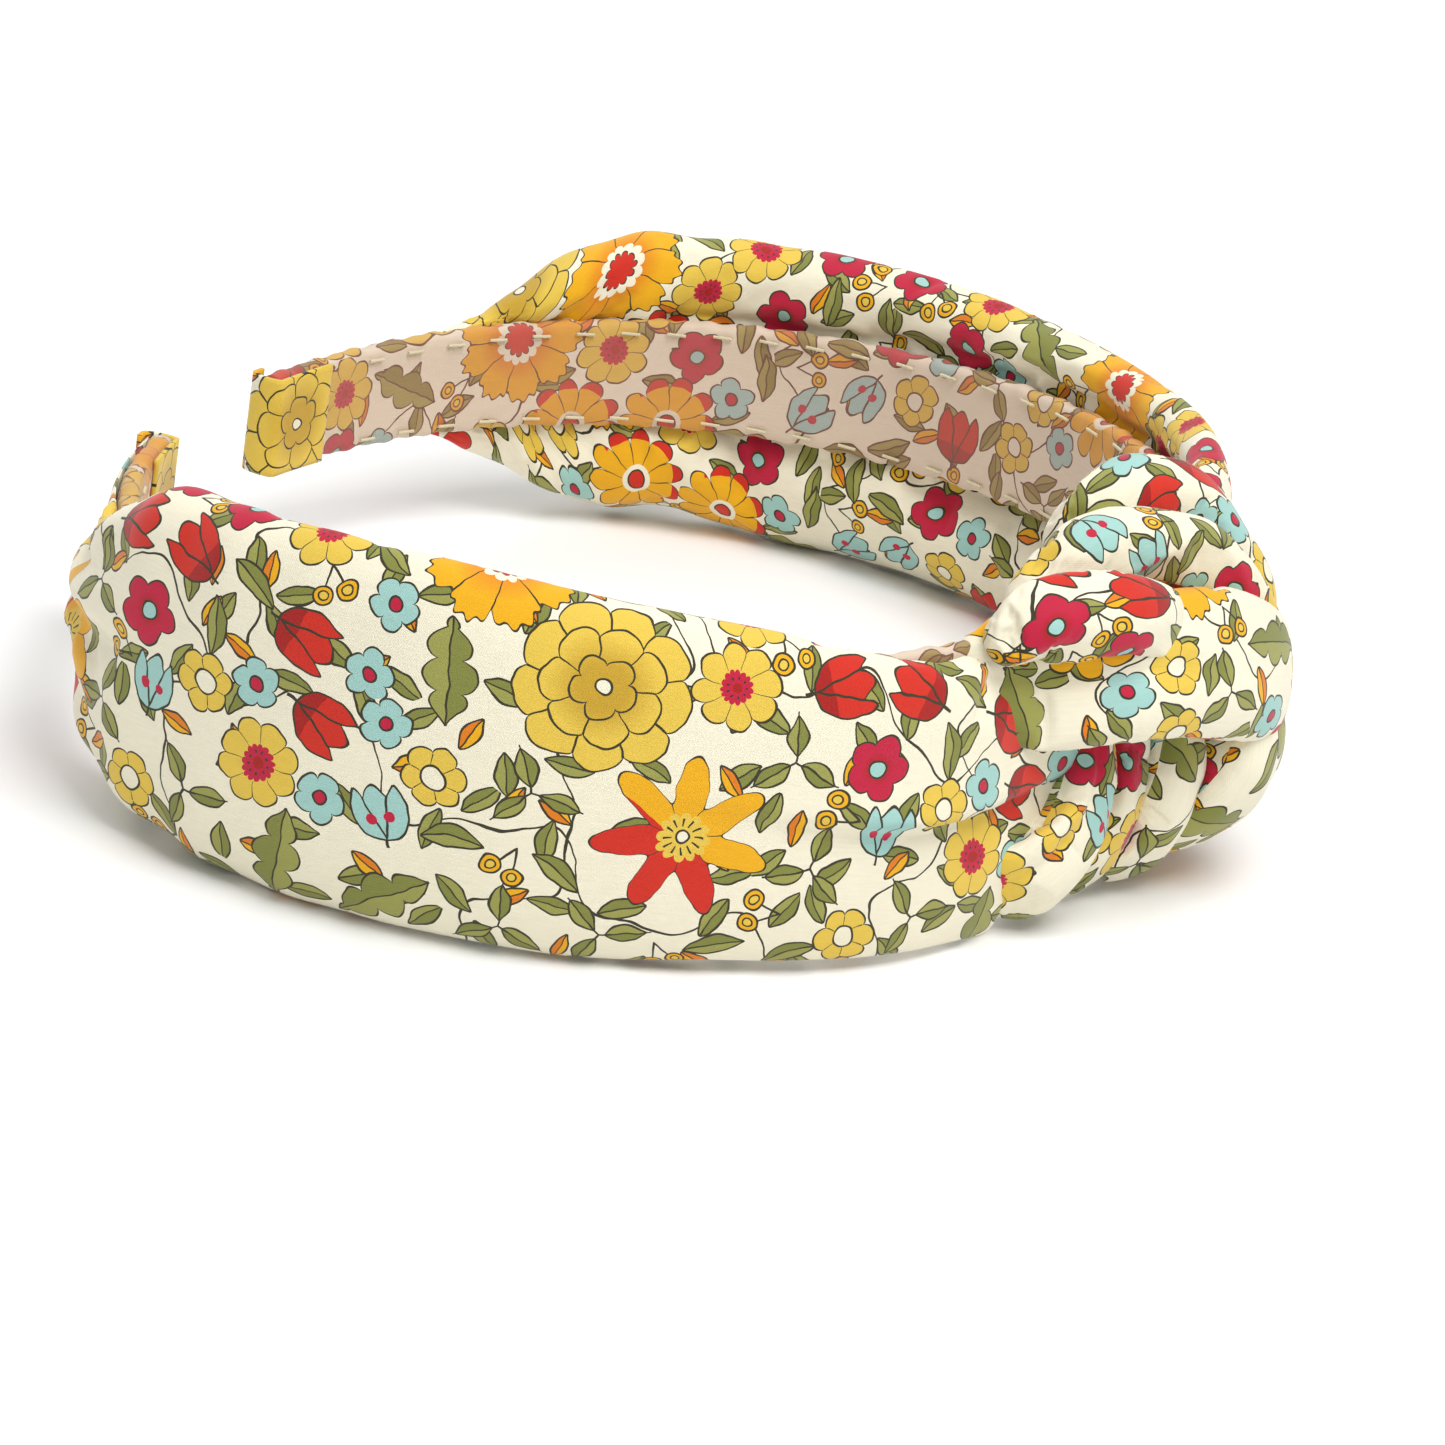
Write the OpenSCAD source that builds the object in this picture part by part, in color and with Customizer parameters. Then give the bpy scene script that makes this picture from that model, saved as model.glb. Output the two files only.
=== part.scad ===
// Knotted fabric headband: a plastic core in a lining sleeve, a wide cover tube tied
// in a knot over the crown, wadding in the cover, and glued tips.
// The hoop lies on its lower edge: knot toward -Y, tips toward +Y, +Z up.

/* [Hoop] */
// Half the width of the hoop, at the middle of the core
half_width = 68.4; // [60:0.2:78]
// Reach of the core forward to the crown
front_reach = 70; // [60:0.5:80]
// How much the crown is flattened
crown_flat = 7; // [0:0.5:9]
// Reach the core would have at the back if the hoop closed
back_reach = 55.8; // [48:0.2:66]
// Angle along the hoop from the crown to a tip
tip_angle = 167.5; // [160:0.5:170]
// Rise of the band at the crown above its middle, from the way the hoop rests
band_rise = 4.2; // [0:0.1:6]

/* [Band] */
// Thickness of the plastic core
core_t = 1.5; // [1.2:0.1:2]
// Thickness of the lining on each side of the core
lining_t = 0.55; // [0.4:0.05:0.8]
// Width of the lined band at the crown
crown_band_w = 16.6; // [14:0.2:20]
// Width of the lined band at a tip
tip_band_w = 12.1; // [10:0.1:14]

/* [Cover] */
// Height of the band's middle above the surface the cover rests on
rest_h = 23.4; // [21:0.1:26]
// Mean height of the cover's upper edge above the band's middle
cover_top = 15; // [13:0.1:17]
// Swing of the upper edge: lower at the crown and higher at the sides
cover_swing = 2.4; // [0:0.1:3]
// Thickness of the padded cover at the sides of the hoop
cover_bulge = 7; // [5:0.1:8]
// Thickness of the cover beside the knot
root_bulge = 3; // [2:0.1:4]
// Thickness of the fabric of the cover, both layers
skin_t = 0.8; // [0.6:0.1:1.2]
// Angle where the cover starts to narrow toward the tip
taper_start = 114.5; // [108:0.5:120]
// Angle where the cover is down to the width of the band
taper_end = 141.5; // [134:0.5:148]

/* [Knot] */
// Width of the front loop of the knot
loop_w = 19; // [15:0.5:21]
// Thickness of the front loop
loop_t = 10; // [8:0.5:11]

/* [Flex] */
// Angle along the hoop where each arm flexes from the crown
flex_angle = 38; // [36:0.5:42]
// Half the slit in the core at the flex line
core_slit = 0.3; // [0.25:0.05:0.6]

/* [Hidden] */
// Moves the hoop so that its box is centred on the origin
centre_shift = 12.85;
// Mean and swing of the reach along Y
reach_mean = (front_reach + back_reach) / 2;
reach_swing = (front_reach - back_reach) / 2;
deg_per_mm = 360 / (2 * PI * half_width);
lining_half_t = core_t / 2 + lining_t;
// The lining closes round each edge of the core
lining_edge = 0.8;
// Gap that keeps touching fabrics apart
gap = 0.15;
// Clearance between the core, its sleeve and the tab folded over the sleeve
sleeve_fit = 0.04;
// The core ends short of the tip of the lining
core_end_gap = 1.2;
tip_tab_len = 9;
tip_tab_t = 0.5;
// Each slit at the flex line opens with the distance from the hinge axis
slit_slope = 0.32;
wadding_start = 50;
wadding_end = 118;
stitch_len = 2.4;
stitch_d = 0.4;
stitch_pitch = 7;
stitch_first = 46;
// The stitches lie this far off the lining, which curves toward them
stitch_lift = 0.12;

// Rings along one arm and across the crown
arm_rings = 26;
crown_rings = 14;
// Points on the padded outline of the cover
outline_steps = 8;
tube_sides = 14;

near = -1;
far = 1;

print_cream = [0.93, 0.90, 0.80];
print_yellow = [0.89, 0.73, 0.35];
print_mustard = [0.85, 0.66, 0.22];
lining_cream = [0.90, 0.86, 0.78];
core_white = [0.92, 0.92, 0.90];
wadding_white = [0.96, 0.96, 0.94];
glue_clear = [0.85, 0.83, 0.74];
thread_cream = [0.86, 0.82, 0.70];

// ---- The hoop's centre line, in plan ----

function hoop_x(a) = half_width * sin(a);
function front(a) = (1 + cos(a)) / 2;
function hoop_y(a) = centre_shift - reach_mean * cos(a) - reach_swing * cos(a) * cos(a)
    + crown_flat * pow(front(a), 8);
function along(a) = [half_width * cos(a),
    (reach_mean + 2 * reach_swing * cos(a) - 4 * crown_flat * pow(front(a), 7)) * sin(a)];
function unit(v) = v / norm(v);
function outward(a) = let (d = unit(along(a))) [d[1], -d[0]];
// A point at an angle along the hoop, an offset outward and a height over the band's middle
function place(a, off, z) =
    [hoop_x(a) + off * outward(a)[0], hoop_y(a) + off * outward(a)[1], z + rest_h];

// ---- Heights and widths along the hoop ----

function ease(x) = let (c = min(1, max(0, x))) c * c * (3 - 2 * c);
function lerp(p, q, k) = p + (q - p) * k;
function band_mid(a) = band_rise * cos(a);
function band_half(a) = lerp(crown_band_w, tip_band_w, abs(a) / tip_angle) / 2;
function taper(a) = ease((abs(a) - taper_start) / (taper_end - taper_start));
function cover_hi(a) =
    lerp(cover_top - cover_swing * cos(2 * a), band_mid(a) + band_half(a) + 0.4, taper(a));
function cover_lo(a) = lerp(-rest_h, band_mid(a) - band_half(a) - 0.4, taper(a));
function bulge(a) =
    lerp(lerp(root_bulge, cover_bulge, ease((abs(a) - flex_angle) / 40)), skin_t, taper(a));

// ---- Sweeps ----

// A closed solid through rings of points, each ring in the same order
module sweep(rings) {
    n = len(rings[0]);
    m = len(rings);
    points = [for (ring = rings) each ring];
    sides = [for (i = [0 : m - 2], j = [0 : n - 1])
        [i * n + j, i * n + (j + 1) % n, (i + 1) * n + (j + 1) % n, (i + 1) * n + j]];
    first = [for (j = [n - 1 : -1 : 0]) j];
    last = [for (j = [0 : n - 1]) (m - 1) * n + j];
    polyhedron(points = points, faces = concat([first], sides, [last]), convexity = 6);
}

// Angles of the rings from one end to the other, always in rising order
function steps(from, to, count) = [for (i = [0 : count]) lerp(from, to, i / count)];
// Rings on the far arm count up and on the near arm down, so both are built from angle a to b
function span(side, a, b, count) =
    side > 0 ? steps(a, b, count) : steps(-b, -a, count);

// The end rings lean back from the flex line by a slit that grows outward
function leaning(a, off, z, slit) =
    let (lean = (slit + slit_slope * max(0, off - 0.9)) * deg_per_mm)
    abs(a) < flex_angle
        ? place(sign(a) * min(abs(a), flex_angle - lean), off, z)
        : place(sign(a) * max(abs(a), flex_angle + lean), off, z);

// A flat strip between two offsets, with its half width taken from band_half
module strip(angles, off, edge, slit) {
    sweep([for (a = angles)
        let (h = band_half(a) - edge, z = band_mid(a))
        [leaning(a, -off, z - h, slit), leaning(a, off, z - h, slit),
         leaning(a, off, z + h, slit), leaning(a, -off, z + h, slit)]]);
}

// The padded outline: flat against the band and crowned outward
function crescent(a, inset, slit) =
    let (lo = cover_lo(a) + inset,
         hi = cover_hi(a) - inset,
         mid = (lo + hi) / 2,
         half = (hi - lo) / 2,
         base = lining_half_t + gap + inset,
         full = max(0.2, bulge(a) - 2 * inset))
    [for (i = [0 : outline_steps])
        let (u = -90 + 180 * i / outline_steps)
        leaning(a, base + full * (0.25 + 0.75 * sqrt(max(0, cos(u)))), mid + half * sin(u), slit),
     leaning(a, base, hi, slit),
     leaning(a, base, lo, slit)];

module crescent_solid(angles, inset, slit) {
    sweep([for (a = angles) crescent(a, inset, slit)]);
}

// ---- Core and lining ----

// The core and the sleeve round it share their rings, so that they never touch
function core_arm_angles(side) =
    span(side, flex_angle + core_slit * deg_per_mm, tip_angle - core_end_gap * deg_per_mm, arm_rings);
// The sleeve stays open past the end of the core, where the glue is
function sleeve_angles(side) =
    side > 0 ? concat(core_arm_angles(side), [tip_angle + 1])
             : concat([-tip_angle - 1], core_arm_angles(side));
function lining_arm_angles(side) =
    span(side, flex_angle + 2 * core_slit * deg_per_mm, tip_angle, arm_rings);
function core_crown_angles() =
    let (edge = flex_angle - core_slit * deg_per_mm) steps(-edge, edge, crown_rings);

module core_arm(side) {
    color(core_white)
    strip(core_arm_angles(side), core_t / 2, lining_edge, core_slit);
}

module lining_arm(side) {
    color(lining_cream)
    difference() {
        strip(lining_arm_angles(side), lining_half_t, 0, core_slit);
        strip(sleeve_angles(side), core_t / 2 + sleeve_fit, lining_edge - sleeve_fit, -2);
    }
}

module core_crown() {
    color(core_white)
    strip(core_crown_angles(), core_t / 2, lining_edge, core_slit);
}

module lining_crown() {
    edge = flex_angle - 2 * core_slit * deg_per_mm;
    color(lining_cream)
    difference() {
        strip(steps(-edge, edge, crown_rings), lining_half_t, 0, core_slit);
        strip(core_crown_angles(), core_t / 2 + sleeve_fit, lining_edge - sleeve_fit, -2);
    }
}

// ---- Cover and wadding ----

module cover_arm(side) {
    start = flex_angle + 2 * core_slit * deg_per_mm;
    color(print_cream)
    difference() {
        crescent_solid(span(side, start, tip_angle - 0.5, arm_rings), 0, 2 * core_slit);
        crescent_solid(span(side, wadding_start - 2, wadding_end + 2, 16), skin_t, 0);
    }
}

module wadding_arm(side) {
    color(wadding_white)
    crescent_solid(span(side, wadding_start, wadding_end, 14), skin_t + gap, 0);
}

module cover_crown() {
    edge = flex_angle - 2 * core_slit * deg_per_mm;
    color(print_cream)
    crescent_solid(steps(-edge, edge, crown_rings), 0, 2 * core_slit);
}

// ---- Tips ----

// The end of the cover, folded round the tip of the band and back along the inside
module tip_tab(side) {
    start = tip_angle - tip_tab_len * deg_per_mm;
    color(print_yellow)
    difference() {
        sweep([for (a = span(side, start, tip_angle + tip_tab_t * deg_per_mm, 6))
            let (h = band_half(a) - 0.6, z = band_mid(a))
            [place(a, -lining_half_t - tip_tab_t, z - h),
             place(a, lining_half_t - 0.1, z - h),
             place(a, lining_half_t - 0.1, z + h),
             place(a, -lining_half_t - tip_tab_t, z + h)]]);
        strip(lining_arm_angles(side), lining_half_t + sleeve_fit, -1, core_slit);
    }
}

// A dab of glue inside the tip, between the end of the core and the lining
module tip_glue(side) {
    h = band_half(tip_angle) - 2 * lining_edge;
    color(glue_clear)
    sweep([for (a = span(side, tip_angle - (core_end_gap - gap) * deg_per_mm,
                         tip_angle - gap * deg_per_mm, 2))
        [place(a, -core_t / 2, band_mid(a) - h), place(a, core_t / 2, band_mid(a) - h),
         place(a, core_t / 2, band_mid(a) + h), place(a, -core_t / 2, band_mid(a) + h)]]);
}

// ---- Stitches ----

// One stitch: a short bar along the hoop, on the inner face of the lining
module stitch(a, z) {
    spot = place(a, -lining_half_t - stitch_lift - stitch_d / 2, z);
    turn = atan2(along(a)[1], along(a)[0]);
    translate(spot) rotate([0, 0, turn]) rotate([0, 90, 0])
        cylinder(h = stitch_len, d = stitch_d, center = true, $fn = 16);
}

// Slip stitches that hold the two edges of the lining along an arm
module seam_stitches(side) {
    pitch = stitch_pitch * deg_per_mm;
    last = tip_angle - (tip_tab_len + 4) * deg_per_mm;
    color(thread_cream)
    for (a = [stitch_first : pitch : last], edge = [-1, 1])
        stitch(side * a, band_mid(a) + edge * (band_half(a) - 1));
}

// Two crosses of thread that tack the knot to the lined band, on its inner face
module knot_tack_stitches() {
    color(thread_cream)
    for (a = [-12, 12], row = [-1, 0, 1])
        stitch(a, band_mid(a) + 2.2 * row);
}

// ---- Knot ----

// A place by the crown: across toward the far arm, outward from the core, and up
function knot_place(p) = [p[0], hoop_y(0) - p[1], rest_h + p[2]];

// A smooth curve through four or more points, by the Catmull-Rom rule
function curve_at(p, k) =
    let (n = len(p) - 1,
         i = min(n - 1, floor(k)),
         f = k - i,
         a = p[max(0, i - 1)],
         b = p[i],
         c = p[i + 1],
         d = p[min(n, i + 2)])
    0.5 * (2 * b + (c - a) * f + (2 * a - 5 * b + 4 * c - d) * f * f
           + (3 * b - a - 3 * c + d) * f * f * f);

// A puffy fold of fabric along a route, start_w wide at first and w wide further on
module fold(route, start_w, w, t, rings, facing) {
    n = len(route) - 1;
    sweep([for (i = [0 : rings])
        let (k = n * i / rings,
             here = curve_at(route, k),
             ahead = unit(curve_at(route, min(n, k + 0.05)) - curve_at(route, max(0, k - 0.05))),
             side = unit(cross(ahead, facing)),
             up = cross(side, ahead),
             close = sqrt(max(0.12, 1 - pow(abs(2 * i / rings - 1), 6))),
             wide = lerp(start_w, w, ease(3 * i / rings)) / 2 * close)
        [for (j = [0 : tube_sides - 1])
            let (u = 360 * j / tube_sides)
            knot_place(here + side * (wide * cos(u)) + up * (t / 2 * close * sin(u)))]]);
}

// The space of the lined band and the crown cover, which the knot lies on
module crown_space() {
    edge = flex_angle - 2 * core_slit * deg_per_mm;
    crescent_solid(steps(-edge, edge, crown_rings), 0, 2 * core_slit);
    strip(steps(-edge, edge, crown_rings), lining_half_t + gap, -gap, 0);
}

module knot_front_loop() {
    route = [[-33, -2, 8], [-25, 3.5, 8], [-15, 9, 8], [-4, 13.5, 5.5], [5, 14, 1.5],
             [12, 10, -2.5], [15, 5, -6]];
    color(print_cream) difference() {
        fold(route, 9, loop_w, loop_t, 22, [0, 1, 0.2]);
        crown_space();
    }
}

module knot_second_roll() {
    route = [[-19, -3, 14], [-8, 1, 15.5], [1, 8, 12.5], [5.5, 11, 7], [8.5, 9.5, -1]];
    color(print_yellow) difference() {
        fold(route, 9, 12, 9, 18, [0.3, 1, 0.6]);
        crown_space();
    }
}

module knot_third_roll() {
    route = [[1, -4, 15], [8, -0.5, 17], [11.5, 4.5, 14.5], [13.5, 8.5, 9], [15, 8.5, 1], [15.5, 6, -6]];
    color(print_mustard) difference() {
        fold(route, 9, 12, 9, 18, [0.4, 1, 0.5]);
        crown_space();
    }
}

module knot_wrap_strip() {
    route = [[-23, 5, 1], [-22.5, 5.2, -6], [-22.5, 4.5, -13], [-23.5, 1.5, -19]];
    color(print_cream) difference() {
        fold(route, 8, 11, 4, 12, [-0.3, 1, -0.1]);
        crown_space();
    }
}

// An upright pleat of the lower half of the cover, gathered under the front loop:
// the pleats stand further out and get wider toward the far side
module pleat(i) {
    across = -12 + 8 * i;
    out = 6.5 + 3.5 * i;
    w = 7 + 2.5 * i;
    color(print_cream) difference() {
        fold([[across, out, -4], [across - 1, out + 1, -9],
              [across - 1, out - 1.5, -15], [across, out - 5, -19]],
             w, w, 5 + 2.2 * i, 10, [0, 1, 0]);
        crown_space();
    }
}

core_crown();
lining_crown();
cover_crown();
knot_front_loop();
knot_second_roll();
knot_third_roll();
knot_wrap_strip();
pleat(0);  // knot_first_pleat
pleat(1);  // knot_second_pleat
pleat(2);  // knot_third_pleat
knot_tack_stitches();
core_arm(near);  // near_core
lining_arm(near);  // near_lining
cover_arm(near);  // near_cover
wadding_arm(near);  // near_wadding
tip_tab(near);  // near_tip_tab
tip_glue(near);  // near_tip_glue
seam_stitches(near);  // near_seam_stitches
core_arm(far);  // far_core
lining_arm(far);  // far_lining
cover_arm(far);  // far_cover
wadding_arm(far);  // far_wadding
tip_tab(far);  // far_tip_tab
tip_glue(far);  // far_tip_glue
seam_stitches(far);  // far_seam_stitches
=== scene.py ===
"""Looks of the knotted headband: cloth cover, knot, lining, print, light and camera."""
import math
import random

import bmesh
import bpy
import numpy as np
from mathutils import Matrix, Vector


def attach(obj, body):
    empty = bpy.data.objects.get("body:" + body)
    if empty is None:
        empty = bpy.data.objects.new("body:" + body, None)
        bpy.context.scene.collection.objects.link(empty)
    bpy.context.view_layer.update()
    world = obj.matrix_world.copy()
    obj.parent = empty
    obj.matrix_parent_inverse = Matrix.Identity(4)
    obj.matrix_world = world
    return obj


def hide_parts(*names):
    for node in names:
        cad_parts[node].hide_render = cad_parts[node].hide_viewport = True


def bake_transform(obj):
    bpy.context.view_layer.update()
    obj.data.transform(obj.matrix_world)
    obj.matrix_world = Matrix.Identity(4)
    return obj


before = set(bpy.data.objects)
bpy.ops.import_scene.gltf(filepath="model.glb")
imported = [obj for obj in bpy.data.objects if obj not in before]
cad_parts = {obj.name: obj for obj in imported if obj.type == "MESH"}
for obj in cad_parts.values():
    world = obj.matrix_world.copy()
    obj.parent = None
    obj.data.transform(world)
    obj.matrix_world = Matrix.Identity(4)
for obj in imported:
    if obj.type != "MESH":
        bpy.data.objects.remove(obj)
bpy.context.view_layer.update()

MM = 0.001
# The cloth maps are in centimetres, worked out in millimetres
MAP_UNIT = 10.0

# ---- The hoop, in millimetres, with the driving sizes of the CAD model ----

HALF_WIDTH = 68.4
FRONT_REACH = 70.0
BACK_REACH = 55.8
CROWN_FLAT = 7.0
CENTRE_SHIFT = 12.85
TIP_ANGLE = 167.5
REST_H = 23.4
BAND_RISE = 4.2
CORE_HALF_T = 0.75
LINING_HALF_T = 1.3
CROWN_BAND_W = 16.6
TIP_BAND_W = 12.1
COVER_TOP = 15.0
COVER_SWING = 2.4
COVER_BULGE = 7.0
ROOT_BULGE = 3.0
SKIN_T = 0.8
FLEX_ANGLE = 38.0
TAPER_START = 114.5
TAPER_END = 141.5
NEAR = -1
FAR = 1
ARM = {NEAR: "near", FAR: "far"}


def lerp(p, q, k):
    return p + (q - p) * k


def ease(x):
    c = np.clip(x, 0.0, 1.0)
    return c * c * (3.0 - 2.0 * c)


def hoop_point(a):
    """Place on the core's centre line at angle a in degrees, in plan."""
    t = np.radians(a)
    c = np.cos(t)
    mean = (FRONT_REACH + BACK_REACH) / 2
    swing = (FRONT_REACH - BACK_REACH) / 2
    y = CENTRE_SHIFT - mean * c - swing * c * c + CROWN_FLAT * ((1 + c) / 2) ** 8
    return np.stack([HALF_WIDTH * np.sin(t), y], -1)


def hoop_along(a):
    step = 0.01
    d = hoop_point(a + step) - hoop_point(a - step)
    return d / np.linalg.norm(d, axis=-1, keepdims=True)


def place(a, off, z):
    """Points at angles a, offsets outward and heights above the hoop's middle height."""
    d = hoop_along(a)
    n = np.stack([d[..., 1], -d[..., 0]], -1)
    xy = hoop_point(a) + n * np.asarray(off)[..., None]
    return np.concatenate([xy, (np.asarray(z) + REST_H)[..., None]], -1)


def band_mid(a):
    return BAND_RISE * np.cos(np.radians(a))


def band_half(a):
    return lerp(CROWN_BAND_W, TIP_BAND_W, np.abs(a) / TIP_ANGLE) / 2


def taper(a):
    return ease((np.abs(a) - TAPER_START) / (TAPER_END - TAPER_START))


def cover_hi(a):
    wide = COVER_TOP - COVER_SWING * np.cos(np.radians(2 * a))
    return lerp(wide, band_mid(a) + band_half(a) + 0.4, taper(a))


def cover_lo(a):
    return lerp(-REST_H, band_mid(a) - band_half(a) - 0.4, taper(a))


def bulge(a):
    padded = lerp(ROOT_BULGE, COVER_BULGE, ease((np.abs(a) - FLEX_ANGLE) / 40))
    return lerp(padded, SKIN_T, taper(a))


# ---- Mesh building ----


def closed_spline(control, per):
    """A smooth closed outline through a ring of control points; the last axis but one is the ring."""
    t = np.arange(per) / per
    w = np.stack([(1 - t) ** 3, 3 * t ** 3 - 6 * t ** 2 + 4,
                  -3 * t ** 3 + 3 * t ** 2 + 3 * t + 1, t ** 3], -1) / 6
    near = [np.roll(control, 1 - k, axis=-2) for k in range(4)]
    parts = sum(w[:, k, None] * near[k][..., None, :] for k in range(4))
    return parts.reshape(*control.shape[:-2], -1, control.shape[-1])


def face_outward(mesh):
    work = bmesh.new()
    work.from_mesh(mesh)
    bmesh.ops.recalc_face_normals(work, faces=work.faces)
    work.to_mesh(mesh)
    work.free()


def add_mesh(name, verts_mm, faces, corner_uv_mm):
    """A smooth mesh object from points in mm, with a cloth UV map in centimetres."""
    mesh = bpy.data.meshes.new(name)
    mesh.from_pydata((verts_mm * MM).tolist(), [], faces)
    uv = mesh.uv_layers.new(name="cloth")
    uv.data.foreach_set("uv", (np.asarray(corner_uv_mm) / MAP_UNIT).ravel())
    face_outward(mesh)
    mesh.polygons.foreach_set("use_smooth", [True] * len(mesh.polygons))
    mesh.update()
    obj = bpy.data.objects.new(name, mesh)
    bpy.context.scene.collection.objects.link(obj)
    return obj


def tube_mesh(name, rings, u_mm, v_mm):
    """A closed tube through rings of points in mm.

    rings is (count, sides, 3); u_mm is (count,) and v_mm is (count, sides + 1)."""
    count, sides, _ = rings.shape
    verts = np.concatenate([rings.reshape(-1, 3), rings[0].mean(0)[None], rings[-1].mean(0)[None]])
    i, j = np.meshgrid(np.arange(count - 1), np.arange(sides), indexing="ij")
    nxt = (j + 1) % sides
    quads = np.stack([i * sides + j, i * sides + nxt, (i + 1) * sides + nxt, (i + 1) * sides + j],
                     -1).reshape(-1, 4)
    k = np.arange(sides)
    end = (count - 1) * sides
    start_cap = np.stack([np.full(sides, count * sides), (k + 1) % sides, k], -1)
    end_cap = np.stack([np.full(sides, count * sides + 1), end + k, end + (k + 1) % sides], -1)
    faces = quads.tolist() + start_cap.tolist() + end_cap.tolist()
    u_grid = np.broadcast_to(u_mm[:, None], (count, sides + 1))
    corner_u = np.stack([u_grid[i, j], u_grid[i, j + 1], u_grid[i + 1, j + 1], u_grid[i + 1, j]], -1)
    corner_v = np.stack([v_mm[i, j], v_mm[i, j + 1], v_mm[i + 1, j + 1], v_mm[i + 1, j]], -1)
    body = np.stack([corner_u, corner_v], -1).reshape(-1, 2)
    caps = []
    for row in (0, count - 1):
        middle = (u_mm[row] + 2.0, v_mm[row, :-1].mean())
        for side in range(sides):
            pair = [(u_mm[row], v_mm[row, side]), (u_mm[row], v_mm[row, side + 1])]
            caps.extend([middle] + (pair[::-1] if row == 0 else pair))
    return add_mesh(name, verts, faces, np.concatenate([body, np.array(caps)]))


def sheet_mesh(name, face, back, u_mm, v_mm):
    """A thin closed sheet between two open grids of points in mm, each (count, across, 3)."""
    count, across, _ = face.shape
    index = np.arange(count * across).reshape(count, across)
    total = count * across
    quads = np.stack([index[:-1, :-1], index[:-1, 1:], index[1:, 1:], index[1:, :-1]], -1).reshape(-1, 4)
    border = np.concatenate([index[0, :], index[1:, -1], index[-1, -2::-1], index[-2:0:-1, 0]])
    nxt = np.roll(border, -1)
    rim = np.stack([nxt, border, border + total, nxt + total], -1)
    faces = np.concatenate([quads, quads[:, ::-1] + total, rim])
    u_grid = np.broadcast_to(u_mm[:, None], v_mm.shape)
    uv = np.stack([u_grid, v_mm], -1).reshape(-1, 2)
    uv = np.concatenate([uv, uv])
    verts = np.concatenate([face.reshape(-1, 3), back.reshape(-1, 3)])
    return add_mesh(name, verts, faces.tolist(), uv[faces].reshape(-1, 2))


def girth(rings, zero):
    """Distance round each ring in mm, counted from its point number zero, one more than its sides."""
    loop = np.concatenate([rings, rings[:, :1]], 1)
    steps = np.linalg.norm(np.diff(loop, axis=1), axis=-1)
    v = np.concatenate([np.zeros((len(rings), 1)), np.cumsum(steps, 1)], 1)
    return v - v[:, zero:zero + 1]


def run(points):
    """Distance along a line of points in mm."""
    steps = np.linalg.norm(np.diff(points, axis=0), axis=-1)
    return np.concatenate([[0.0], np.cumsum(steps)])


def ring_normals(rings):
    """Outward normals of a tube of rings."""
    along = np.gradient(rings, axis=0)
    around = np.roll(rings, -1, 1) - np.roll(rings, 1, 1)
    n = np.cross(along, around)
    n /= np.linalg.norm(n, axis=-1, keepdims=True) + 1e-9
    out = rings - rings.mean(1, keepdims=True)
    return n * np.sign((n * out).sum(-1).sum(-1))[:, None, None]


def waves(x, seed, count, longest):
    """A smooth random line of x: a few seeded sine waves."""
    rng = np.random.default_rng(seed)
    total = 0
    for k in range(count):
        total = total + np.sin(2 * math.pi * (k + 1) * x / longest + rng.uniform(0, 6.28)) / (k + 1)
    return total


# ---- Cloth simulation ----

# The solver works on a copy of each piece made this much bigger, on every second point
SIM_SCALE = 10.0
SIM_FRAMES = 20
SIM_BENDING = 0.3


def halfway(d, axis, closed):
    """Twice as many rows along an axis, the new ones halfway along a smooth curve."""
    d = np.moveaxis(d, axis, 0)
    if closed:
        row = np.concatenate([d[-1:], d, d[:2]])
    else:
        row = np.concatenate([2 * d[:1] - d[1:2], d, 2 * d[-1:] - d[-2:-1]])
    between = (9 * (row[1:-2] + row[2:-1]) - row[:-3] - row[3:]) / 16
    both = np.stack([d[:len(between)], between], 1).reshape(-1, *d.shape[1:])
    if not closed:
        both = np.concatenate([both, d[-1:]])
    return np.moveaxis(both, 0, axis)


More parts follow.
